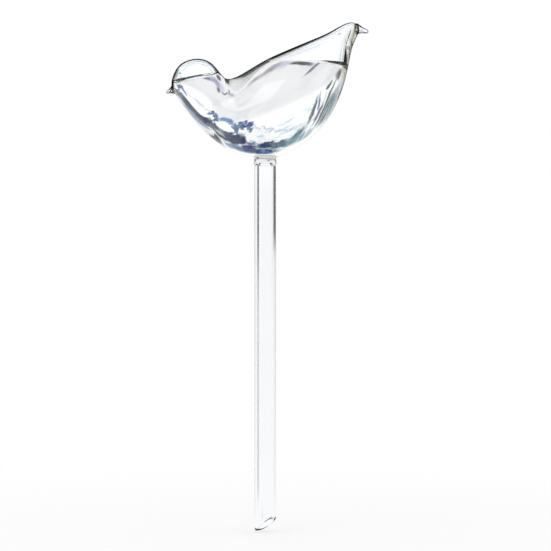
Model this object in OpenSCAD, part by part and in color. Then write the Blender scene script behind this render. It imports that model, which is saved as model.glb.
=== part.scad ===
// Watering globe: a hand-blown glass bird filled with water, on a long glass stem.
// The stem is pushed into the soil of a plant pot and lets the water out slowly.
// Millimetres. +Z is up, the beak points to -X and the tail to +X.
// The origin is on the stem's axis, where the stem leaves the weld under the belly.

/* [Bird] */
// Length of the blown shell, from the front of the head to the root of the tail tip
shell_l = 96; // [80:1:116]
// Height of the blown shell, from the belly to the top of the tail
shell_h = 69; // [57.5:0.5:83]
// Width of the belly at its widest
shell_w = 50; // [40:1:60]
// Thickness of the blown wall
wall = 1.2; // [0.9:0.1:1.5]
// Extra glass left on the underside of the tail by drawing it out
tail_extra = 2.2; // [0:0.1:2.6]

/* [Stem] */
// Length of the stem below the weld, to the lowest point of its mouth
stem_l = 186.5; // [120:0.5:230]
// Outer diameter of the stem's tube
stem_d = 11; // [9:0.5:13]
// Wall of the stem's tube
stem_wall = 1.5; // [1:0.1:1.8]
// Slant of the fire-polished mouth, in degrees
mouth_slant = 30; // [0:1:40]
// Turn of the mouth's lowest point from the head's side to the front, in degrees
mouth_turn = 25; // [-90:1:90]

/* [Weld] */
// Height of the weld, from the stem's end up to the belly
weld_h = 4.5; // [3:0.5:8]
// How far the bead stands out from the stem's tube
weld_bulge = 0.5; // [0.3:0.1:1.2]
// Radius of the fillet from the weld to the belly
weld_fillet = 1.2; // [0.6:0.1:2]
// How far the melted glass narrows the bore at the weld
throat_narrowing = 0.4; // [0:0.1:0.8]

/* [Beak and tail tip] */
// Length of the beak from its root in the head's wall
beak_l = 5.6; // [4.6:0.1:8]
// Diameter of the beak at its root
beak_d = 6.2; // [4:0.1:7.4]
// Droop of the beak below the level, in degrees
beak_droop = 15; // [0:1:30]
// Length of the drawn tip from its root in the tail
tail_tip_l = 7; // [5:0.5:10]
// Diameter of the drawn tip at its root
tail_tip_d = 4.8; // [3:0.1:5.5]
// Droop of the drawn tip below the level, in degrees
tail_tip_droop = 12; // [0:1:30]

/* [Water] */
// Height of the water's surface in the tail, above the belly
water_level = 46.5; // [42:0.5:50]
// Height of the water's surface in the middle of the head, above the belly
head_level = 39; // [36:0.5:42]
// Tilt of the water's surface in the head, in degrees
head_tilt = 10; // [5:1:12]
// Gap between the water and the glass
water_gap = 0.1; // [0.05:0.05:0.3]

/* [Hidden] */
$fn = 64;

glass = [0.86, 0.93, 0.95, 0.4];
water = [0.62, 0.76, 0.86, 0.6];

stem_r = stem_d / 2;
bore_r = stem_r - stem_wall;
throat_r = bore_r - throat_narrowing;
belly_z = weld_h;

// The side outline in rungs from the head to the tail. Each has a point of the back and one of the
// belly, x in hundredths of the shell's length from the stem's axis, z in hundredths of its height
// above the belly, then the half width in hundredths, and how far the section leans to the belly.
head_pole = [-50, 54];
rungs = [
    [[-47.8, 64.5], [-46.8, 44.8], 30, 0],
    [[-43.2, 70.8], [-41.8, 35], 44, 0],
    [[-35.8, 73.2], [-34.5, 22.5], 49, 0.03],
    [[-28.3, 69.4], [-27.3, 13], 52, 0.1],
    [[-22.8, 60.5], [-21, 7], 60, 0.2],
    [[-17.5, 58.6], [-13.3, 2.7], 74, 0.28],
    [[-9, 64.6], [-3, 0.2], 91, 0.22],
    [[1, 72.7], [8.5, 1.5], 100, 0.12],
    [[13, 80.2], [20, 10.4], 96, 0.06],
    [[23.5, 86.3], [29, 21], 82, 0.02],
    [[33, 92], [36.6, 36], 61, 0],
    [[40.5, 97.7], [42.6, 57.5], 40, 0],
    [[45, 100], [45.6, 77], 25, 0],
    [[48, 99.2], [48, 87], 14, 0]
];
tail_pole = [49.8, 94];

// Where the beak and the drawn tip root, in the same hundredths, and the ends that they draw out to
beak_place = [-47.4, 50.5];
tail_place = [48, 95.5];
beak_end_d = 1.6;
tail_tip_end_d = 1.9;
nib_root = 1;

// The mesh of the skins
rings_per_rung = 2;
sides = 32;
last_rung = len(rungs) - 1;
tail_s = len(rungs) + 1;

// The cavity ends short of the tail's pole, so the drawn end is solid
cavity_end = 13.4;
cavity_pole = 13.9;
extra_from = 9.5;

// The rungs in the middle of the head and at the neck, between the two surfaces of the water
head_rung = 2;
neck_rung = 5;

// How far the weld reaches up round the belly, and how far the water's column reaches into it
weld_reach = 2;
throat_reach = 4;

function to_mm(p) = [p[0] * shell_l / 100, belly_z + p[1] * shell_h / 100];

// Lists with one value before the head's pole and one after the tail's, so that the spline turns
// smoothly round both poles: the outline goes on along the other line, and the width changes sign.
back = concat(
    [to_mm(rungs[0][1]), to_mm(head_pole)],
    [for (r = rungs) to_mm(r[0])],
    [to_mm(tail_pole), to_mm(rungs[last_rung][1])]
);
belly = concat(
    [to_mm(rungs[0][0]), to_mm(head_pole)],
    [for (r = rungs) to_mm(r[1])],
    [to_mm(tail_pole), to_mm(rungs[last_rung][0])]
);
half_width = concat(
    [-rungs[0][2], 0],
    [for (r = rungs) r[2]],
    [0, -rungs[last_rung][2]]
) * shell_w / 200;
lean = concat([0, 0], [for (r = rungs) r[3]], [0, 0]);

// Catmull-Rom spline: s is 0 at the head's pole, 1 at the first rung, and so on
function spline(list, s) =
    let (
        i = min(floor(s), len(list) - 4),
        t = s - i,
        a = list[i],
        b = list[i + 1],
        c = list[i + 2],
        d = list[i + 3]
    )
    0.5 * (2 * b + (c - a) * t + (2 * a - 5 * b + 4 * c - d) * t * t
        + (3 * b - a - 3 * c + d) * t * t * t);

// A point of the outer skin: angle 0 is on the back and 180 on the belly
function skin_point(s, angle) =
    let (
        top = spline(back, s),
        low = spline(belly, s),
        y = spline(half_width, s) * sin(angle) * (1 - spline(lean, s) * cos(angle)),
        middle = (top + low) / 2,
        half = (top - low) / 2 * cos(angle)
    )
    [middle[0] + half[0], y, middle[1] + half[1]];

function unit(v) = v / norm(v);

function skin_normal(s, angle) =
    let (
        step = 0.02,
        along = skin_point(s + step, angle) - skin_point(s - step, angle),
        around = skin_point(s, angle + 1) - skin_point(s, angle - 1)
    )
    unit(cross(along, around));

// Depth of the inner skin below the outer one: the wall, with the extra glass under the tail
function wall_depth(s, angle, gap) =
    let (
        rise = max(0, min(1, (s - extra_from) / (cavity_end - extra_from))),
        under = (1 - cos(angle)) / 2
    )
    wall + gap + tail_extra * rise * rise * under;

function outer_ring(s) = [for (k = [0 : sides - 1]) skin_point(s, 360 * k / sides)];

function inner_ring(s, gap) = [
    for (k = [0 : sides - 1])
        let (angle = 360 * k / sides)
        skin_point(s, angle) - wall_depth(s, angle, gap) * skin_normal(s, angle)
];

// Closes a stack of rings with a pole at each end
module stack(first_pole, rings, last_pole) {
    count = len(rings);
    points = concat([first_pole], [for (r = rings) each r], [last_pole]);
    last = len(points) - 1;
    base = 1 + (count - 1) * sides;
    faces = concat(
        [for (k = [0 : sides - 1]) [0, 1 + (k + 1) % sides, 1 + k]],
        [for (j = [0 : count - 2], k = [0 : sides - 1])
            let (a = 1 + j * sides, n = (k + 1) % sides)
            [a + k, a + n, a + sides + k]],
        [for (j = [0 : count - 2], k = [0 : sides - 1])
            let (a = 1 + j * sides, n = (k + 1) % sides)
            [a + n, a + sides + n, a + sides + k]],
        [for (k = [0 : sides - 1]) [last, base + k, base + (k + 1) % sides]]
    );
    polyhedron(points, faces);
}

module outer_skin() {
    step = 1 / rings_per_rung;
    rings = [for (s = [step : step : tail_s - step / 2]) outer_ring(s)];
    head = to_mm(head_pole);
    tail = to_mm(tail_pole);
    stack([head[0], 0, head[1]], rings, [tail[0], 0, tail[1]]);
}

// The cavity, or with a gap the water that fills it
module inner_skin(gap) {
    step = 1 / rings_per_rung;
    rings = concat(
        [for (s = [step : step : cavity_end - step / 2]) inner_ring(s, gap)],
        [inner_ring(cavity_end, gap)]
    );
    head = to_mm(head_pole);
    tail = (spline(back, cavity_pole) + spline(belly, cavity_pole)) / 2;
    stack([head[0] + wall + gap, 0, head[1]], rings, [tail[0] - gap, 0, tail[1]]);
}

module bird_body() {
    color(glass)
    difference() {
        outer_skin();
        inner_skin(0);
        cylinder(h = belly_z + shell_h / 4, r = throat_r);
    }
}

// A drawn glass nib along +Z: a root that flares into the shell, a slim cone and a round end
module nib(length, root_d, end_d) {
    neck_r = root_d / 4 + end_d / 4;
    neck_z = length * 0.45;
    translate([0, 0, -nib_root]) cylinder(h = nib_root, r = root_d / 2);
    cylinder(h = neck_z, r1 = root_d / 2, r2 = neck_r);
    translate([0, 0, neck_z]) cylinder(h = length - end_d / 2 - neck_z, r1 = neck_r, r2 = end_d / 2);
    translate([0, 0, length - end_d / 2]) sphere(d = end_d);
}

module beak_tip() {
    root = to_mm(beak_place);
    color(glass)
    difference() {
        translate([root[0], 0, root[1]])
            rotate([0, -90 - beak_droop, 0])
                nib(beak_l, beak_d, beak_end_d);
        outer_skin();
    }
}

module tail_tip() {
    root = to_mm(tail_place);
    color(glass)
    difference() {
        translate([root[0], 0, root[1]])
            rotate([0, 90 + tail_tip_droop, 0])
                nib(tail_tip_l, tail_tip_d, tail_tip_end_d);
        outer_skin();
    }
}

// The bead of melted glass that joins the stem to the belly, with a fillet up to the belly
module weld_collar() {
    bulge_r = (weld_h * weld_h / 4 + weld_bulge * weld_bulge) / (2 * weld_bulge);
    color(glass)
    difference() {
        rotate_extrude() {
            intersection() {
                square([stem_r + weld_bulge, weld_h]);
                translate([stem_r + weld_bulge - bulge_r, weld_h / 2]) circle(bulge_r);
            }
            translate([0, weld_h - weld_fillet])
                square([stem_r, weld_fillet + weld_reach]);
            difference() {
                translate([stem_r, weld_h - weld_fillet])
                    square([weld_fillet, weld_fillet + weld_reach]);
                translate([stem_r + weld_fillet, weld_h - weld_fillet]) circle(weld_fillet);
            }
        }
        outer_skin();
        translate([0, 0, -1]) cylinder(h = weld_h + weld_reach + 2, r = throat_r);
    }
}

// The tube, with its mouth cut on a slant: the lowest point is at the head's side and to the front
module stem_tube() {
    cut = 4 * stem_d;
    color(glass)
    difference() {
        translate([0, 0, -stem_l]) cylinder(h = stem_l, r = stem_r);
        translate([0, 0, -stem_l - 1]) cylinder(h = stem_l + 2, r = bore_r);
        translate([0, 0, -stem_l])
            rotate([0, 0, mouth_turn])
                translate([-stem_r, 0, 0])
                    rotate([0, -mouth_slant, 0])
                        translate([-cut / 2, -cut / 2, -cut]) cube(cut);
    }
}

// The water: the cavity up to two surfaces, with air above them in the tail and in the head
module water_fill() {
    neck_x = to_mm(rungs[neck_rung][0])[0];
    head_x = to_mm(rungs[head_rung][0])[0];
    room = shell_l + shell_h;
    color(water)
    union() {
        difference() {
            inner_skin(water_gap);
            translate([neck_x, -room / 2, belly_z + water_level]) cube(room);
            translate([head_x, 0, belly_z + head_level])
                rotate([0, -head_tilt, 0])
                    translate([-room, -room / 2, 0]) cube([room + neck_x - head_x, room, room]);
        }
        cylinder(h = belly_z + throat_reach, r = throat_r - water_gap);
    }
}

bird_body();
beak_tip();
tail_tip();
weld_collar();
stem_tube();
water_fill();
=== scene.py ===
import math

import bmesh
import bpy
import numpy as np
from mathutils import Matrix, Vector
from mathutils.bvhtree import BVHTree


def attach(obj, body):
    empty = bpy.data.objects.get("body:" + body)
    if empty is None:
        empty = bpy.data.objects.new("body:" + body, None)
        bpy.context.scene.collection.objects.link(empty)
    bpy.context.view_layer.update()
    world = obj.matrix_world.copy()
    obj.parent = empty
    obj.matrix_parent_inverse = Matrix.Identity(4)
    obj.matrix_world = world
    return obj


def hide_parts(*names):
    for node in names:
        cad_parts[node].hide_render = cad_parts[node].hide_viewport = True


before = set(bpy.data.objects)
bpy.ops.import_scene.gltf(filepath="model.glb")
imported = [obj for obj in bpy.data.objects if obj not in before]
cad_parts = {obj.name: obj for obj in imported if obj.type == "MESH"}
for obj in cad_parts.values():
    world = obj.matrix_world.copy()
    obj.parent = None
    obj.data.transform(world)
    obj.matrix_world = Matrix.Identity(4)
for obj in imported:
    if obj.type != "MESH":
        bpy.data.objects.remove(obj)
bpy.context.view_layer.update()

MM = 0.001

# The blown shell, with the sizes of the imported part
SHELL_L = 96
SHELL_H = 69
SHELL_W = 50
WALL = 1.2
TAIL_EXTRA = 2.2
BELLY_Z = 4.5

# The side outline in rungs from the head to the tail. Each has a point of the back and one of the
# belly, x in hundredths of the shell's length and z in hundredths of its height above the belly,
# then the half width in hundredths, and how far the section leans to the belly.
HEAD_POLE = (-50, 54)
RUNGS = [
    ((-47.8, 64.5), (-46.8, 44.8), 30, 0),
    ((-43.2, 70.8), (-41.8, 35), 44, 0),
    ((-35.8, 73.2), (-34.5, 22.5), 49, 0.03),
    ((-28.3, 69.4), (-27.3, 13), 52, 0.1),
    ((-22.8, 60.5), (-21, 7), 60, 0.2),
    ((-17.5, 58.6), (-13.3, 2.7), 74, 0.28),
    ((-9, 64.6), (-3, 0.2), 91, 0.22),
    ((1, 72.7), (8.5, 1.5), 100, 0.12),
    ((13, 80.2), (20, 10.4), 96, 0.06),
    ((23.5, 86.3), (29, 21), 82, 0.02),
    ((33, 92), (36.6, 36), 61, 0),
    ((40.5, 97.7), (42.6, 57.5), 40, 0),
    ((45, 100), (45.6, 77), 25, 0),
    ((48, 99.2), (48, 87), 14, 0),
]
TAIL_POLE = (49.8, 94)
TAIL_S = len(RUNGS) + 1
EXTRA_FROM = 9.5
CAVITY_END = 13.4
CAVITY_POLE = 13.9

# Stem and weld
STEM_R = 5.5
BORE_R = 4.0
STEM_L = 186.5
STEM_TOP = 0.05
MOUTH_SLANT = math.radians(30)
MOUTH_TURN = math.radians(25)
THROAT_R = 3.6
WELD_BULGE = 0.5
WELD_FILLET = 1.2

# Water: how far it reaches into the glass, so that light passes from one to the other as in the
# real thing, the levels of its two surfaces, and how far its rim climbs the glass
SOAK = 0.1
TAIL_LEVEL = BELLY_Z + 46.5
HEAD_LEVEL = BELLY_Z + 39
HEAD_X = -34.4
NECK_X = -16.8
HEAD_TILT = math.radians(10)
RIM_CLIMB = 1.6
HEAD_CLIMB = 2.2
RIM_REACH = 2.0
SPINE_END = 4
SURFACE_RINGS = 16

# Where the water's column ends in the throat, above the stem
WATER_FOOT = 0.4

# How far the weld's fillet and its flat top go into the wall of the belly
FILLET_SINK = 0.2
WELD_SINK = 0.4

# Corners sharper than this stay sharp, because clear glass looks black round a smoothed corner
SHARP = math.radians(50)

# Glass and water
GLASS_INDEX = 1.47
WATER_INDEX = 1.33
OLIVE = "a3a188"
# Painted shade: a dark diffuse at the edges of clear walls and in specks, for the dark that refraction
# gives them
PAINTED_SHADE = "1a1917"
# Painted light: a pale diffuse at the top of the weld, for the light that comes through its clear glass
PAINTED_LIGHT = "f6f6f4"

# The thick glass under the tail is olive behind an edge that leans with the wall: its x at z = 0,
# its lean per mm of height, its softness, the heights where it begins, and the x where it ends
OLIVE_X = 25.6
OLIVE_LEAN = 0.256
OLIVE_SOFT = 2
OLIVE_Z = (40, 48)
OLIVE_END = 47

# How far a wall has turned from the eye, from 0 to 1, where its painted shade or olive begins and
# where it is full. The tube's painted dark line and band also have where that fades and where it ends.
AIR_TURNS = (0.56, 0.8)
BACK_TURNS = (0.7, 0.88)
END_TURNS = (0.22, 0.5)
OLIVE_TURNS = (0.12, 0.34)
LINE_TURNS = (0.17, 0.22, 0.29, 0.36)
BAND_TURNS = (0.31, 0.38, 0.72, 0.86)

# Camera, floor and lamp, in metres and watts
CAMERA_AWAY = 1.1
VIEW_WIDTH = 0.282
VIEW_X = 0.00525
VIEW_Z = -0.0559
FLOOR_R = 3
FLOOR_GAP = 0.0005
FLOOR_GREY = 0.9
SHADOW_SHARE = 0.4
SHADOW_FADES = (0.15, 0.45)
LAMP_PLACE = (-0.7, -0.7, 0.9)
LAMP_SIZE = (0.8, 0.6)
LAMP_POWER = 1.5

WHITE = (1, 1, 1, 1)


def once(items):
    """The items, each once, in their own order."""
    return list(dict.fromkeys(items))


def colour(code):
    """The linear colour of a code such as 2b4a7a."""
    shares = [int(code[i : i + 2], 16) / 255 for i in (0, 2, 4)]
    return tuple(c / 12.92 if c < 0.04045 else ((c + 0.055) / 1.055) ** 2.4 for c in shares) + (1,)


class Value:
    """A value in a node tree. Its sums, differences and products add Math nodes."""

    def __init__(self, tree, socket):
        self.tree = tree
        self.socket = socket

    def math(self, operation, *terms):
        return self.tree.add("ShaderNodeMath", {"operation": operation}, dict(enumerate(terms)))

    def __add__(self, other):
        return self.math("ADD", self, other)

    def __radd__(self, other):
        return self.math("ADD", other, self)

    def __sub__(self, other):
        return self.math("SUBTRACT", self, other)

    def __rsub__(self, other):
        return self.math("SUBTRACT", other, self)

    def __mul__(self, other):
        return self.math("MULTIPLY", self, other)

    def __rmul__(self, other):
        return self.math("MULTIPLY", other, self)

    def __truediv__(self, other):
        return self.math("DIVIDE", self, other)


class Tree:
    """The nodes of a material or of the world."""

    def __init__(self, owner):
        owner.use_nodes = True
        self.nodes = owner.node_tree.nodes
        self.links = owner.node_tree.links
        self.nodes.clear()

    def add(self, kind, settings=None, inputs=None, output=0):
        """Adds a node of a kind, with its settings first, then the values or links of its sockets."""
        node = self.nodes.new(kind)
        for name, value in (settings or {}).items():
            if name == "stops":
                self.set_stops(node.color_ramp, value)
            else:
                setattr(node, name, value)
        for name, value in (inputs or {}).items():
            if isinstance(value, Value):
                self.links.new(value.socket, node.inputs[name])
            else:
                node.inputs[name].default_value = value
        return Value(self, node.outputs[output]) if len(node.outputs) else None

    def set_stops(self, ramp, stops):
        while len(ramp.elements) < len(stops):
            ramp.elements.new(1)
        for element, (place, shade) in zip(ramp.elements, stops):
            element.position = place
            element.color = shade

    def blend(self, share, first, second):
        """The first colour where share is 0, the second where it is 1."""
        return self.add("ShaderNodeMix", {"data_type": "RGBA"}, {0: share, 6: first, 7: second}, 2)

    def noise(self, where, scale, detail=2.0, twist=0.0):
        sizes = {"Vector": where, "Scale": scale, "Detail": detail, "Distortion": twist}
        return self.add("ShaderNodeTexNoise", None, sizes)

    def step(self, value, low, high):
        """0 at low, 1 at high, and smooth between, where high may be the smaller of the two."""
        limits = {"Value": value, 1: low, 2: high}
        return self.add("ShaderNodeMapRange", {"interpolation_type": "SMOOTHSTEP"}, limits)

    def window(self, value, begin, full, fade, end):
        """0 before begin and after end, and 1 from full to fade."""
        return self.step(value, begin, full) * self.step(value, end, fade)

    def facts(self, kind):
        """The outputs of a node that needs no input, by name."""
        return {socket.name: Value(self, socket) for socket in self.nodes.new(kind).outputs}

    def axes(self, where):
        """The x, y and z of a place or a direction."""
        node = self.add("ShaderNodeSeparateXYZ", None, {0: where}).socket.node
        return [Value(self, socket) for socket in node.outputs]

    def turned(self):
        """How far the surface has turned from the eye: 0 when seen straight on, 1 when seen along."""
        return self.add("ShaderNodeLayerWeight", None, {"Blend": 0.5}, "Facing")


def clear_stuff(name, index, tints, tint_scale, waves, wave_scale, stretch=(1, 1, 1), smear=0, looks=None):
    """Clear glass or water: faint tints, and long soft waves from the making in its surface.

    The waves are so many mm high, and smear is how rough the surface gets in patches. Looks gives the
    tint of each place, and its shares of painted shade and painted light, mixed in as a dull diffuse.
    """
    material = bpy.data.materials.new(name)
    tree = Tree(material)
    place = tree.add("ShaderNodeTexCoord", output="Object")
    drawn = tree.add("ShaderNodeMapping", None, {"Vector": place, "Scale": stretch})
    shade = tree.blend(tree.noise(place, tint_scale), colour(tints[0]), colour(tints[1]))
    dark = 0
    light_share = 0
    if looks:
        shade, dark, light_share = looks(tree, place, shade)
    height = tree.noise(drawn, wave_scale, 1.0)
    bump = tree.add("ShaderNodeBump", None, {"Strength": 1.0, "Distance": waves * MM, "Height": height})
    skin = {
        "Base Color": shade,
        "Roughness": 0,
        "IOR": index,
        "Transmission Weight": 1.0,
        "Normal": bump,
    }
    if smear:
        skin["Roughness"] = tree.step(tree.noise(place, 3 * tint_scale), 0.55, 0.8) * smear
    surface = tree.add("ShaderNodeBsdfPrincipled", None, skin)
    # Mixes in a diffuse of painted light and one of painted shade, each by its share
    for share, code in ((light_share, PAINTED_LIGHT), (dark, PAINTED_SHADE)):
        if share:
            painted_diffuse = tree.add("ShaderNodeBsdfDiffuse", None, {"Color": colour(code)})
            surface = tree.add("ShaderNodeMixShader", None, {0: share, 1: surface, 2: painted_diffuse})
    tree.add("ShaderNodeOutputMaterial", None, {"Surface": surface})
    return material


def rear_share(tree, x, z):
    """1 in the thick glass under the tail, from the waterline up."""
    return tree.step(x - z * OLIVE_LEAN, OLIVE_X, OLIVE_X + OLIVE_SOFT) * tree.step(z, *OLIVE_Z)


def add_olive(tree, x, z, shade):
    """The tint with the olive of the thick glass, which shows most where it is seen along its wall."""
    share = rear_share(tree, x, z) * tree.step(x, OLIVE_END, OLIVE_END - 1)
    return tree.blend(share * tree.step(tree.turned(), *OLIVE_TURNS), shade, colour(OLIVE))


def shell_looks(tree, place, shade):
    """The tint of the blown glass, and its painted shade along the wall, seen from outside.

    The painted shade is dark where the wall holds air, along the back and at the two ends, and less so
    in the thick glass under the tail. Water behind it clears the belly's edge.
    """
    x, _, z = (axis / MM for axis in tree.axes(place))
    tail_air = tree.step(z, TAIL_LEVEL + 1, TAIL_LEVEL + 4)
    head_zero = HEAD_LEVEL - HEAD_X * math.tan(HEAD_TILT)
    head_air = tree.step(z - x * math.tan(HEAD_TILT), head_zero, head_zero + 2)
    head_air = head_air * tree.step(x, NECK_X + 1, NECK_X - 1)
    air = tail_air.math("MAXIMUM", tail_air, head_air)
    side = tree.facts("ShaderNodeNewGeometry")
    up = tree.axes(side["Normal"])[2]
    back = tree.step(up, 0, 0.3) * tree.step(z, 30, 36)
    ends = tree.step(x.math("ABSOLUTE", x), 46, 47.5)
    turned = tree.turned()
    # The dark share is painted shade at the wall's edges
    dark = tree.step(turned, *AIR_TURNS) * air
    dark = dark.math("MAXIMUM", dark, tree.step(turned, *BACK_TURNS) * back)
    dark = dark * (1 - rear_share(tree, x, z) * 0.7)
    dark = dark.math("MAXIMUM", dark, tree.step(turned, *END_TURNS) * ends)
    dark = dark * (2 - dark) * (1 - side["Backfacing"])
    return add_olive(tree, x, z, shade), dark, 0


def lining_looks(tree, place, shade):
    """The inside of the blown glass is olive under the tail too, but has no painted shade."""
    x, _, z = (axis / MM for axis in tree.axes(place))
    return add_olive(tree, x, z, shade), 0, 0


def stem_looks(tree, place, shade):
    """Painted shade on the tube's wall: a dark line at its left and a band at its right, strong at the
    top.
    """
    x, y, z = (axis / MM for axis in tree.axes(place))
    radius = x.math("SQRT", x * x + y * y)
    front = tree.step(radius, 4.6, 4.9) * tree.step(y, 0.5, -0.5)
    right = tree.step(x, -0.5, 0.5)
    turned = tree.turned()
    # Painted shade where the wall is seen along
    line = tree.window(turned, *LINE_TURNS) * (1 - right) * (0.35 + 0.5 * tree.step(z, -75, -30))
    band = tree.window(turned, *BAND_TURNS) * right * (0.06 + 0.74 * tree.step(z, -50, -30))
    return shade, (line + band) * front * tree.window(z, -176, -160, -0.5, 0.5), 0


# Painted shade: small dark specks in the front of the weld, for tiny bubbles; x and z in mm, and their
# radius
SPECKS = [
    (-3.9, 4.0, 0.6),
    (-5.2, 2.9, 0.45),
    (-4.4, 0.8, 0.45),
    (-2.5, 1.2, 0.4),
    (2.8, 1.1, 0.5),
    (5.6, 3.0, 0.4),
    (1.6, 2.4, 0.25),
]


def weld_looks(tree, place, shade):
    """The weld is clear, with painted light at its top and painted shade in a few dark specks, for tiny
    bubbles where the glass ran together.
    """
    flat = tree.add("ShaderNodeVectorMath", {"operation": "MULTIPLY"}, {0: place, 1: (1, 0, 1)})
    specks = 0
    for x, z, radius in SPECKS:
        spot = (x * MM, 0, z * MM)
        away = tree.add("ShaderNodeVectorMath", {"operation": "DISTANCE"}, {0: flat, 1: spot}, "Value")
        # Each speck is painted shade
        specks = tree.step(away, 1.3 * radius * MM, 0.5 * radius * MM) * 0.7 + specks
    height = tree.axes(place)[2] / MM
    # The pale share at the top of the weld is painted light
    return shade, specks, tree.step(height, BELLY_Z - 1.3, BELLY_Z - 0.5) * 0.85


class Line:
    """A line through points at s = 0, 1, 2 and so on, with slopes that keep its bend even."""

    def __init__(self, before, points, after):
        values = np.array([before, *points, after], float).reshape(len(points) + 2, -1)
        self.points = values[1:-1]
        count = len(self.points)
        pull = 4 * np.eye(count) + np.eye(count, k=1) + np.eye(count, k=-1)
        push = 3 * (values[2:] - values[:-2])
        for end in (0, -1):
            pull[end] = 6 * np.eye(count)[end]
        self.slopes = np.linalg.solve(pull, push)

    def at(self, s):
        i = min(int(s), len(self.points) - 2)
        t = s - i
        start = self.points[i] * (1 - 3 * t**2 + 2 * t**3) + self.slopes[i] * (t - 2 * t**2 + t**3)
        end = self.points[i + 1] * (3 * t**2 - 2 * t**3) + self.slopes[i + 1] * (t**3 - t**2)
        return start + end


def to_mm(point):
    return (point[0] * SHELL_L / 100, BELLY_Z + point[1] * SHELL_H / 100)


def outline(side):
    """The back (side 0) or the belly (side 1), which goes on along the other one past the poles."""
    inner = [to_mm(HEAD_POLE), *[to_mm(rung[side]) for rung in RUNGS], to_mm(TAIL_POLE)]
    return Line(to_mm(RUNGS[0][1 - side]), inner, to_mm(RUNGS[-1][1 - side]))


def across(values, flip):
    return Line(flip * values[0], [0, *values, 0], flip * values[-1])


BACK = outline(0)
BELLY = outline(1)
HALF_WIDTH = across([rung[2] * SHELL_W / 200 for rung in RUNGS], -1)
LEAN = across([rung[3] for rung in RUNGS], 0)


def skin_point(s, angle):
    """A point of the outer skin: s runs from the head's pole to the tail's, angle 0 is on the back."""
    top = BACK.at(s)
    low = BELLY.at(s)
    middle = (top + low) / 2
    half = (top - low) / 2 * math.cos(angle)
    lean = 1 - LEAN.at(s)[0] * math.cos(angle)
    y = HALF_WIDTH.at(s)[0] * math.sin(angle) * lean
    return Vector((middle[0] + half[0], y, middle[1] + half[1]))


def skin_normal(s, angle):
    step = 0.01
    along = skin_point(s + step, angle) - skin_point(s - step, angle)
    around = skin_point(s, angle + step) - skin_point(s, angle - step)
    return along.cross(around).normalized()


def wall_depth(s, angle):
    """The wall, with the extra glass under the tail."""
    rise = max(0, min(1, (s - EXTRA_FROM) / (CAVITY_END - EXTRA_FROM)))
    return WALL + TAIL_EXTRA * rise**2 * (1 - math.cos(angle)) / 2


def inner_point(s, angle, soak):
    return skin_point(s, angle) - (wall_depth(s, angle) - soak) * skin_normal(s, angle)


def cavity_point(share, angle, soak):
    """A point of the cavity's skin: share 0 is the pole in the head, 1 the pole in the tail."""
    round_from = 0.94
    if share == 0:
        return Vector((to_mm(HEAD_POLE)[0] + WALL - soak, 0, to_mm(HEAD_POLE)[1]))
    if share <= round_from:
        return inner_point(CAVITY_END * share / round_from, angle, soak)
    turn = (share - round_from) / (1 - round_from) * math.pi / 2
    ring = inner_point(CAVITY_END, angle, soak)
    middle = (inner_point(CAVITY_END, 0, soak) + inner_point(CAVITY_END, math.pi, soak)) / 2
    end = (BACK.at(CAVITY_POLE) + BELLY.at(CAVITY_POLE)) / 2
    pole = Vector((end[0] + soak, 0, end[1]))
    return middle + (ring - middle) * math.cos(turn) + (pole - middle) * math.sin(turn)


SIDES = 96
RINGS = 150


def skin(bm, place):
    """A closed skin: a ball whose points go to place(share, angle), with its normals outwards."""
    ball = bmesh.ops.create_uvsphere(bm, u_segments=SIDES, v_segments=RINGS, radius=1)
    for vert in ball["verts"]:
        x, y, z = vert.co
        flat = math.hypot(x, y)
        share = math.atan2(flat, z) / math.pi
        vert.co = place(share, math.atan2(y, x) if flat > 1e-6 else 0)
    bm.normal_update()
    faces = once(face for vert in ball["verts"] for face in vert.link_faces)
    bmesh.ops.recalc_face_normals(bm, faces=faces)
    return faces


def cut_throat(bm, faces, radius):
    """Cuts a round hole on the stem's axis into the underside of a skin, and gives its rim."""
    inside = []
    for face in faces:
        centre = face.calc_center_median()
        if math.hypot(centre.x, centre.y) < radius and centre.z < BELLY_Z + SHELL_H / 4:
            inside.append(face)
    rim = once(edge for face in inside for edge in face.edges)
    bmesh.ops.delete(bm, geom=inside, context="FACES")
    rim = [edge for edge in rim if edge.is_valid and edge.is_boundary]
    for vert in once(vert for edge in rim for vert in edge.verts):
        flat = Vector((vert.co.x, vert.co.y, 0))
        vert.co += flat.normalized() * (radius - flat.length)
    return rim


# Air bubbles in the front of the blown wall: x and z, half sizes, and the turn in degrees. The last
# one lies in the thick glass under the tail, and has its y too.
BUBBLES = [
    ((-43.4, 47.0), (0.45, 0.4, 0.45), 0),
    ((-45.0, 45.2), (0.3, 0.3, 0.3), 0),
    ((-42.8, 45.0), (0.3, 0.3, 0.3), 0),
    ((37.6, 67.0), (1.0, 0.25, 0.4), -25),
    ((24.0, 30.0), (0.25, 0.25, 0.25), 0),
]
TAIL_BUBBLE = ((43, 0, 60.3), (0.75, 0.8, 1.1), 15)


def add_bubble(bm, centre, size, turn):
    """An air bubble in the glass: an egg that faces inwards."""
    turned = Matrix.Rotation(math.radians(turn), 4, "Y")
    place = Matrix.Translation(centre) @ turned @ Matrix.Diagonal((*size, 1))
    ball = bmesh.ops.create_uvsphere(bm, u_segments=20, v_segments=12, radius=1, matrix=place)
    faces = once(face for vert in ball["verts"] for face in vert.link_faces)
    bmesh.ops.recalc_face_normals(bm, faces=faces)
    bmesh.ops.reverse_faces(bm, faces=faces)


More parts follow.
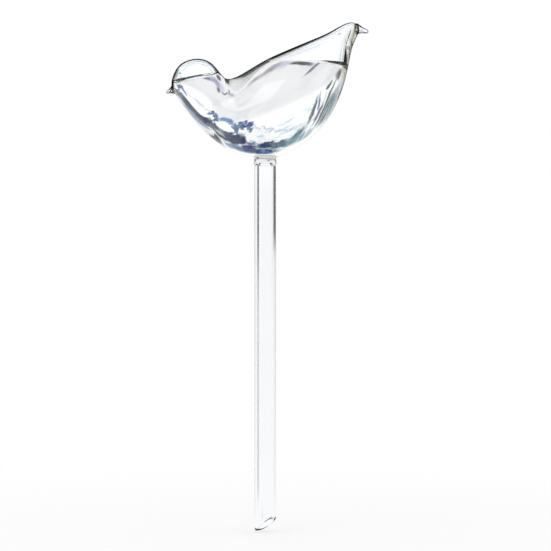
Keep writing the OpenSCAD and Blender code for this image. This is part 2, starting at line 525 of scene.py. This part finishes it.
def finish_piece(bm, name, material, node, rounding=0):
    """Makes a piece of a mesh in millimetres, in place of its node of the frame."""
    bmesh.ops.scale(bm, vec=(MM, MM, MM), verts=bm.verts)
    mesh = bpy.data.meshes.new(name)
    bm.to_mesh(mesh)
    bm.free()
    mesh.shade_smooth()
    mesh.set_sharp_from_angle(angle=SHARP)
    mesh.materials.append(material)
    piece = bpy.data.objects.new(name, mesh)
    bpy.context.scene.collection.objects.link(piece)
    if rounding:
        smooth = piece.modifiers.new("rounding", "SUBSURF")
        smooth.levels = rounding
        smooth.render_levels = rounding
    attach(piece, "root")
    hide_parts(node)
    return piece


def make_shell(material, lining):
    """The blown glass: an outer and an inner skin, joined at the throat. Gives the outer skin."""
    bm = bmesh.new()
    outer = skin(bm, lambda share, angle: skin_point(share * TAIL_S, angle))
    tree = BVHTree.FromBMesh(bm)
    inner = skin(bm, lambda share, angle: cavity_point(share, angle, 0))
    bmesh.ops.reverse_faces(bm, faces=inner)
    for face in inner:
        face.material_index = 1
    rims = cut_throat(bm, outer, THROAT_R) + cut_throat(bm, inner, THROAT_R)
    bmesh.ops.bridge_loops(bm, edges=rims)
    for (x, z), size, turn in BUBBLES:
        spot, normal = tree.ray_cast(Vector((x, -SHELL_W, z)), Vector((0, 1, 0)))[:2]
        add_bubble(bm, spot - normal * WALL / 2, size, turn)
    add_bubble(bm, *TAIL_BUBBLE)
    shell = finish_piece(bm, "bird_shell", material, "bird_body")
    shell.data.materials.append(lining)
    return tree


def make_water(material):
    """The water: the whole cavity and the throat, cut off at its two surfaces."""
    bm = bmesh.new()
    faces = skin(bm, lambda share, angle: cavity_point(share, angle, SOAK))
    rim = cut_throat(bm, faces, THROAT_R + SOAK)
    column = bmesh.ops.extrude_edge_only(bm, edges=rim)["geom"]
    foot = [item for item in column if isinstance(item, bmesh.types.BMVert)]
    for vert in foot:
        vert.co.z = WATER_FOOT
    bmesh.ops.holes_fill(bm, edges=[e for e in bm.edges if e.is_boundary], sides=0)
    fill_to(bm, 1, Vector((0, 0, TAIL_LEVEL)), 0, RIM_CLIMB)
    fill_to(bm, -1, Vector((HEAD_X, 0, HEAD_LEVEL)), HEAD_TILT, HEAD_CLIMB)
    bm.normal_update()
    bmesh.ops.recalc_face_normals(bm, faces=bm.faces)
    finish_piece(bm, "water", material, "water_fill")


def fill_to(bm, side, level, tilt, climb):
    """Cuts the water off at a level on one side of the neck. The surface's rim climbs the glass."""
    along = Vector((math.cos(tilt), 0, math.sin(tilt)))
    up = Vector((-math.sin(tilt), 0, math.cos(tilt)))
    faces = [face for face in bm.faces if (face.calc_center_median().x - NECK_X) * side > 0]
    geom = once(item for face in faces for item in (*face.verts, *face.edges, face))
    start = level + up * climb
    cut = bmesh.ops.bisect_plane(bm, geom=geom, plane_co=start, plane_no=up, clear_outer=True)
    rim = [item for item in cut["geom_cut"] if isinstance(item, bmesh.types.BMEdge)]
    places = [(vert.co - start).dot(along) for edge in rim for vert in edge.verts]
    spine = (min(places) + SPINE_END, max(places) - SPINE_END)
    for i in range(SURFACE_RINGS):
        before, share = i / SURFACE_RINGS, (i + 1) / SURFACE_RINGS
        grown = bmesh.ops.extrude_edge_only(bm, edges=rim)["geom"]
        rim = [item for item in grown if isinstance(item, bmesh.types.BMEdge)]
        for vert in once(vert for edge in rim for vert in edge.verts):
            flat = vert.co + up * (start - vert.co).dot(up)
            place = max(spine[0], min(spine[1], (flat - start).dot(along)))
            to_spine = start + along * place - flat
            whole = to_spine / (1 - before)
            flat += whole * (share - before)
            drop = climb * (1 - math.exp(-whole.length * share / RIM_REACH))
            vert.co = flat - up * drop
        rim = [edge for edge in rim if edge.is_boundary]
    seam = once(vert for edge in rim for vert in edge.verts)
    bmesh.ops.remove_doubles(bm, verts=seam, dist=0.02)


def lathe(profile, steps, closed=True):
    """Turns a profile of (radius, height) points round Z."""
    bm = bmesh.new()
    verts = [bm.verts.new((r, 0, z)) for r, z in profile]
    edges = [bm.edges.new(pair) for pair in zip(verts, verts[1:])]
    if closed:
        edges.append(bm.edges.new((verts[-1], verts[0])))
    round_z = {"cent": (0, 0, 0), "axis": (0, 0, 1), "angle": 2 * math.pi, "use_merge": True}
    bmesh.ops.spin(bm, geom=verts + edges, steps=steps, **round_z)
    bmesh.ops.remove_doubles(bm, verts=bm.verts, dist=0.001)
    bmesh.ops.recalc_face_normals(bm, faces=bm.faces)
    return bm


def make_stem(material):
    """The tube, with a fire-polished mouth on a slant."""
    lip_r = (STEM_R - BORE_R) / 2
    lip_middle = BORE_R + lip_r
    straight = 12
    levels = [STEM_TOP, STEM_TOP - 0.1, -straight, straight - STEM_L, straight / 2 - STEM_L]
    profile = [(BORE_R, level) for level in levels]
    turns = 10
    for i in range(turns + 1):
        angle = math.pi * i / turns
        profile.append((lip_middle - lip_r * math.cos(angle), -STEM_L + lip_r - lip_r * math.sin(angle)))
    profile += [(STEM_R, level) for level in reversed(levels)]
    bm = lathe(profile, 96)
    for vert in bm.verts:
        if vert.co.z < -STEM_L + 2 * lip_r:
            along = vert.co.x * math.cos(MOUTH_TURN) + vert.co.y * math.sin(MOUTH_TURN)
            vert.co.z += (along + STEM_R) * math.tan(MOUTH_SLANT)
    finish_piece(bm, "stem", material, "stem_tube")


def make_weld(material, skin_tree):
    """The bead of melted glass between the stem and the belly.

    Its fillet and its flat top are turned level first. Then each point moves up or down with the
    belly's skin above it.
    """
    height = BELLY_Z - WELD_FILLET
    fillet = WELD_FILLET + 0.3
    lid = BELLY_Z + 2
    profile = [(THROAT_R, -0.02), (STEM_R + 0.02, -0.02)]
    turns = 5
    for i in range(1, turns):
        rise = i / turns
        profile.append((STEM_R + WELD_BULGE * math.sin(math.pi * rise), height * rise))
    for i in range(turns + 1):
        angle = math.pi / 2 * i / turns
        radius = STEM_R + WELD_FILLET * (1 - math.cos(angle))
        profile.append((radius, height + fillet * math.sin(angle)))
    profile += [(STEM_R + WELD_FILLET, lid), (THROAT_R, lid)]
    bm = lathe(profile, 48)
    for vert in bm.verts:
        below = Vector((vert.co.x, vert.co.y, -1))
        skin_z = skin_tree.ray_cast(below, Vector((0, 0, 1)))[0].z
        if vert.co.z > lid - 0.5:
            vert.co.z = skin_z + WELD_SINK
        elif vert.co.z > height:
            share = (vert.co.z - height) / fillet
            vert.co.z = height + share * (skin_z + FILLET_SINK - height)
    finish_piece(bm, "weld", material, "weld_collar")


def drawn_nib(profile, root, up, droop, bend):
    """A nib of drawn glass from root, tilted from +X or -X by droop and bent down towards its end."""
    bm = lathe(profile, 32, closed=False)
    length = profile[-1][1]
    for vert in bm.verts:
        share = max(0, vert.co.z / length)
        vert.co.x += bend * share**2
    turn = Matrix.Rotation(up * (math.pi / 2 + droop), 4, "Y")
    place = Matrix.Translation(Vector((root[0], 0, root[1])))
    bmesh.ops.transform(bm, matrix=place @ turn, verts=bm.verts)
    return bm


def make_beak(material):
    """The beak, drawn out of the head and snipped to a point."""
    profile = [
        (0, -0.9), (2.4, -0.9), (3.3, -0.5), (3.3, 0.1), (2.9, 0.7), (3.0, 1.1), (2.7, 1.5), (1.9, 2.2),
        (1.5, 2.9), (1.2, 3.6), (0.9, 4.3), (0.8, 4.9), (0.55, 5.4), (0, 5.55),
    ]
    bm = drawn_nib(profile, to_mm((-47.4, 51.2)), -1, math.radians(20), -0.3)
    finish_piece(bm, "beak", material, "beak_tip", 2)


def make_tail_drop(material):
    """The tip of the tail, where the bubble was pulled off and sealed."""
    profile = [
        (0, -0.9), (2.2, -0.9), (2.9, -0.4), (2.9, 0.5), (2.6, 1.3), (2.2, 2.1), (1.8, 3.0), (1.45, 3.9),
        (1.25, 4.7), (1.2, 5.4), (1.1, 6.0), (0.7, 6.7), (0, 6.95),
    ]
    bm = drawn_nib(profile, to_mm((48, 95.5)), 1, math.radians(10), 0.5)
    finish_piece(bm, "tail_drop", material, "tail_tip", 2)


# What the glass sees round it, in degrees of turn from straight behind and of height: patches of
# a studio's surroundings, painted one over the other. Each has its middle, its half size, how far
# it tilts, the softness and raggedness of its edge, and its colour.
PATCHES = [
    # Left: a pale wall with a darker edge and tall streaks
    ((-43, 19), (12, 9.5), 0, 0.4, 5, "7c949e"),
    ((-35, 18), (7, 8), -12, 0.4, 6, "466472"),
    ((-34, 17), (1.1, 4), 0, 0.5, 3, "c4d4de"),
    ((-31, 17), (2.4, 6), -10, 0.5, 5, "40545e"),
    ((-24.5, 29), (6, 4), 0, 0.6, 8, "8caab8"),
    ((-28.8, 9.5), (1.7, 4.5), -8, 0.3, 3, "101612"),
    ((-28.5, 17), (0.9, 5), 6, 0.5, 3, "2a343c"),
    ((-24.6, 17), (1.5, 5.5), 0, 0.3, 4, "142440"),
    ((-21.6, 11), (0.8, 6.5), 28, 0.4, 2, "506690"),
    ((-18.6, 13), (1.2, 6.5), 10, 0.4, 3, "161c2c"),
    ((-24, 5), (1.7, 1.2), 0, 0.4, 2, "3a3e38"),
    ((-30, 4.5), (4.5, 0.8), -24, 0.5, 1, "50554e"),
    # Above: a band of teal and blue
    ((-15, 28), (6, 4.5), 0, 0.5, 8, "5c8c98"),
    ((-17, 22.5), (3.2, 2.4), 0, 0.5, 6, "2a5a78"),
    ((11, 35), (19, 5.2), 0, 0.35, 6, "004884"),
    ((15, 33), (8, 4.5), 0, 0.4, 6, "002c6c"),
    ((-5, 27.2), (7.5, 4.2), 0, 0.25, 8, "004468"),
    ((4, 26.2), (5, 3.4), 0, 0.3, 6, "002458"),
    ((0.5, 23), (3.5, 1.3), 0, 0.5, 5, "0e1c3c"),
    ((15, 28.5), (6.5, 4), 0, 0.3, 8, "002468"),
    ((26, 30), (6.5, 4), 0, 0.5, 8, "50749c"),
    ((36, 30), (6, 5), 0, 0.5, 6, "50749c"),
    # Right: dark blue, with light between
    ((12, 22.5), (3.5, 2), 0, 0.6, 8, "5c7098"),
    ((18, 18.5), (3.2, 5.5), 6, 0.3, 6, "001848"),
    ((25, 20.5), (8, 4.4), 0, 0.35, 8, "001c3c"),
    ((37, 19.5), (8, 2.6), 0, 0.3, 4, "001830"),
    ((31, 28), (7, 3), 24, 0.5, 7, "6c88a4"),
    ((26, 14.8), (7.5, 4.2), 4, 0.25, 6, "001844"),
    ((26.5, 8.5), (3, 3.2), 0, 0.2, 2, "ffffff"),
    ((12.2, 8.6), (1.8, 3.2), 6, 0.25, 8, "1f5c9c"),
    ((16.5, 6.2), (6.5, 2.2), -20, 0.25, 10, "1f5690"),
    ((20.4, 8.5), (1.9, 4.8), -4, 0.25, 8, "164880"),
    ((22.8, 1.8), (1.6, 2.4), 20, 0.4, 2, "4474b4"),
    ((15.5, 7), (2.6, 1.5), 0, 0.3, 9, "103458"),
    ((22, 13), (1.6, 0.9), 20, 0.4, 3, "dce4f4"),
    ((-7, 16.2), (6, 0.5), -20, 0.8, 5, "ccd0e0"),
    ((4, 12), (7, 0.6), -22, 0.8, 8, "c0c0d4"),
    # Below: thin dark lines and patches of purple grey
    ((-24.5, -17.5), (6.5, 1.4), 32, 0.3, 1, "0c0c10"),
    ((-9, -13.5), (7, 3), 10, 0.6, 4, "c8c8de"),
    ((-15, -11.5), (6, 1.2), 20, 0.5, 2, "9494b0"),
    ((-7.2, -8.4), (3.2, 0.9), 29, 0.5, 1, "5a5a78"),
    ((1, -15.6), (8.5, 0.9), -36, 0.4, 1, "120e0c"),
    ((3.5, -19), (6, 0.5), -38, 0.5, 1, "403632"),
    ((10, -23), (4, 3.6), -30, 0.6, 3, "c2bdd8"),
    ((17, -24), (4, 4), -20, 0.6, 5, "908498"),
    ((25, -22), (5, 2.4), -10, 0.6, 4, "a098a4"),
]
# The plain background behind the patches, from straight down to straight up
BANDS = [
    (-90, "8c8a84"),
    (-70, "8c8a84"),
    (-60, "bcbab6"),
    (-52, "e8e6e4"),
    (-45, "f8f8f8"),
    (-22, "f4f4f5"),
    (-19, "e9e9ea"),
    (2, "e9e9ea"),
    (4.5, "ffffff"),
    (90, "ffffff"),
]
# Flecks in the blue and tall streaks at the left: the noise's range, how strong, and the colour
FLECKS = [((0.56, 0.64), 0.2, "d8ecf8"), ((0.44, 0.36), 0.7, "04202c")]
STREAKS = [((0.54, 0.64), 0.6, "f4fafe"), ((0.42, 0.34), 0.6, "46566c")]
WISPS = "b4d0dc"

# The patches come again every so many degrees, so that the glass looks alike from other sides
REPEAT = 120

# How bright glass sees the studio, and the grey that its surface mirrors
GLASS_SEES = 1.2
SHINE = "808080"


def light_world():
    """White to the camera and to plain surfaces; glass sees a studio with its surroundings."""
    world = bpy.data.worlds.new("studio")
    bpy.context.scene.world = world
    tree = Tree(world)
    way = tree.add("ShaderNodeTexCoord", output="Generated")
    x, y, z = tree.axes(way)
    degrees = 180 / math.pi
    height = z.math("ARCSINE", z) * degrees
    turn = x.math("ARCTAN2", x, y) * degrees + REPEAT / 2
    turn = turn.math("FLOORED_MODULO", turn, REPEAT) - REPEAT / 2
    stops = [((e + 90) / 180, colour(code)) for e, code in BANDS]
    seen = tree.add("ShaderNodeValToRGB", {"stops": stops}, {0: (height + 90) / 180})
    seen = add_wisps(tree, turn, height, seen)
    seen = add_patches(tree, way, turn, height, seen)
    seen = add_flecks(tree, way, turn, height, seen)
    seen = add_streaks(tree, turn, height, seen)
    rays = tree.facts("ShaderNodeLightPath")
    plain = rays["Is Camera Ray"] + rays["Is Diffuse Ray"]
    plain = plain.math("MINIMUM", plain, 1)
    shine = tree.blend(tree.window(height, -45, -30, -10, 0), colour(SHINE), WHITE)
    seen = tree.blend(rays["Is Transmission Ray"], shine, seen)
    shown = tree.blend(plain, seen, WHITE)
    strength = GLASS_SEES - (GLASS_SEES - 1) * plain
    surface = tree.add("ShaderNodeBackground", None, {"Color": shown, "Strength": strength})
    tree.add("ShaderNodeOutputWorld", None, {"Surface": surface})


def add_wisps(tree, turn, height, seen):
    """Pale wisps low in the middle."""
    where = tree.add("ShaderNodeCombineXYZ", None, {0: turn * 0.12, 1: height * 0.35})
    wisp = tree.step(tree.noise(where, 1.0, 4.0, 0.8), 0.5, 0.64) * tree.window(height, 7, 12, 19, 22)
    return tree.blend(wisp * 0.8, seen, colour(WISPS))


def add_patches(tree, way, turn, height, seen):
    """The patches, each with an edge that the noise moves by its raggedness."""
    rough = tree.noise(way, 18.0, 5.0) - 0.5
    rough_too = tree.noise(way, 24.0, 5.0) - 0.5
    spots = {}
    for middle, half, tilt, soft, ragged, code in PATCHES:
        if ragged not in spots:
            moved = {0: turn + rough * ragged, 1: height + rough_too * ragged}
            spots[ragged] = tree.add("ShaderNodeCombineXYZ", None, moved)
        lie = {
            "Vector": spots[ragged],
            "Location": (*middle, 0),
            "Rotation": (0, 0, math.radians(tilt)),
            "Scale": (*half, 1),
        }
        inside = tree.add("ShaderNodeMapping", {"vector_type": "TEXTURE"}, lie)
        out = tree.add("ShaderNodeVectorMath", {"operation": "LENGTH"}, {0: inside}, "Value")
        seen = tree.blend(tree.step(out, 1 + soft, 1 - soft), seen, colour(code))
    return seen


def add_flecks(tree, way, turn, height, seen):
    """Light and dark flecks in the band above and in the right corner."""
    fleck = tree.noise(way, 50.0, 3.0, 0.5)
    band = tree.window(height, 19, 23, 32, 38) * tree.step(turn, -24, -18)
    corner = tree.window(height, 10, 13, 32, 38) * tree.step(turn, 14, 18)
    zone = band.math("MAXIMUM", band, corner)
    for reach, share, code in FLECKS:
        seen = tree.blend(tree.step(fleck, *reach) * zone * share, seen, colour(code))
    return seen


def add_streaks(tree, turn, height, seen):
    """Tall leaning streaks at the left."""
    where = tree.add("ShaderNodeCombineXYZ", None, {0: turn * 0.5 + height * 0.06, 1: height * 0.06})
    streak = tree.noise(where, 1.0, 3.0)
    left = tree.step(turn, -16, -20) * tree.window(height, 5, 9, 26, 36)
    for reach, share, code in STREAKS:
        seen = tree.blend(tree.step(streak, *reach) * left * share, seen, colour(code))
    return seen


def make_floor():
    """A white floor that keeps the shadow under the object and fades to plain white round it."""
    bm = bmesh.new()
    bmesh.ops.create_circle(bm, cap_ends=True, segments=64, radius=FLOOR_R)
    bmesh.ops.translate(bm, vec=(0, 0, -STEM_L * MM - FLOOR_GAP), verts=bm.verts)
    mesh = bpy.data.meshes.new("floor")
    bm.to_mesh(mesh)
    bm.free()
    floor = bpy.data.objects.new("floor", mesh)
    bpy.context.scene.collection.objects.link(floor)
    material = bpy.data.materials.new("floor")
    tree = Tree(material)
    paper = tree.add("ShaderNodeBsdfDiffuse", None, {"Color": (*[FLOOR_GREY] * 3, 1)})
    white = tree.add("ShaderNodeEmission", None, {"Color": WHITE, "Strength": 1.0})
    place = tree.add("ShaderNodeTexCoord", output="Object")
    away = tree.add("ShaderNodeVectorMath", {"operation": "LENGTH"}, {0: place}, "Value")
    camera = tree.facts("ShaderNodeLightPath")["Is Camera Ray"]
    fade = camera * (1 - SHADOW_SHARE + SHADOW_SHARE * tree.step(away, *SHADOW_FADES))
    surface = tree.add("ShaderNodeMixShader", None, {0: fade, 1: paper, 2: white})
    tree.add("ShaderNodeOutputMaterial", None, {"Surface": surface})
    mesh.materials.append(material)
    floor.visible_transmission = False
    floor.visible_glossy = False


def make_lamp():
    """A soft lamp at the front left, pointed at the frame's origin."""
    data = bpy.data.lights.new("softbox", "AREA")
    data.shape = "RECTANGLE"
    data.size = LAMP_SIZE[0]
    data.size_y = LAMP_SIZE[1]
    data.energy = LAMP_POWER
    lamp = bpy.data.objects.new("softbox", data)
    lamp.location = LAMP_PLACE
    lamp.rotation_euler = (-lamp.location).to_track_quat("-Z", "Y").to_euler()
    bpy.context.scene.collection.objects.link(lamp)


def make_camera():
    data = bpy.data.cameras.new("camera")
    data.sensor_width = 36
    data.lens = data.sensor_width * CAMERA_AWAY / VIEW_WIDTH
    data.clip_start = 0.01
    data.clip_end = 20
    camera = bpy.data.objects.new("camera", data)
    camera.location = (VIEW_X, -CAMERA_AWAY, VIEW_Z)
    camera.rotation_euler = (math.pi / 2, 0, 0)
    bpy.context.scene.collection.objects.link(camera)
    bpy.context.scene.camera = camera


make_camera()
make_lamp()
make_floor()
light_world()

BLOWN = {"tints": ("ffffff", "fbfdfd"), "tint_scale": 40, "waves": 0.03, "wave_scale": 60}
blown = clear_stuff("blown_glass", GLASS_INDEX, **BLOWN, looks=shell_looks)
lining = clear_stuff("inner_glass", GLASS_INDEX, **BLOWN, looks=lining_looks)
melted = clear_stuff("melted_glass", GLASS_INDEX, **BLOWN, looks=weld_looks)
drawn = clear_stuff(
    "tube_glass",
    GLASS_INDEX,
    tints=("ffffff", "fcfdfd"),
    tint_scale=30,
    waves=0.04,
    wave_scale=160,
    stretch=(1, 1, 0.06),
    smear=0.03,
    looks=stem_looks,
)
fill = clear_stuff("water", WATER_INDEX, ("f8f8f8", "f5f5f5"), tint_scale=20, waves=0.02, wave_scale=30)

skin_tree = make_shell(blown, lining)
make_water(fill)
make_stem(drawn)
make_weld(melted, skin_tree)
make_beak(blown)
make_tail_drop(blown)

bpy.context.scene.view_settings.view_transform = "Standard"
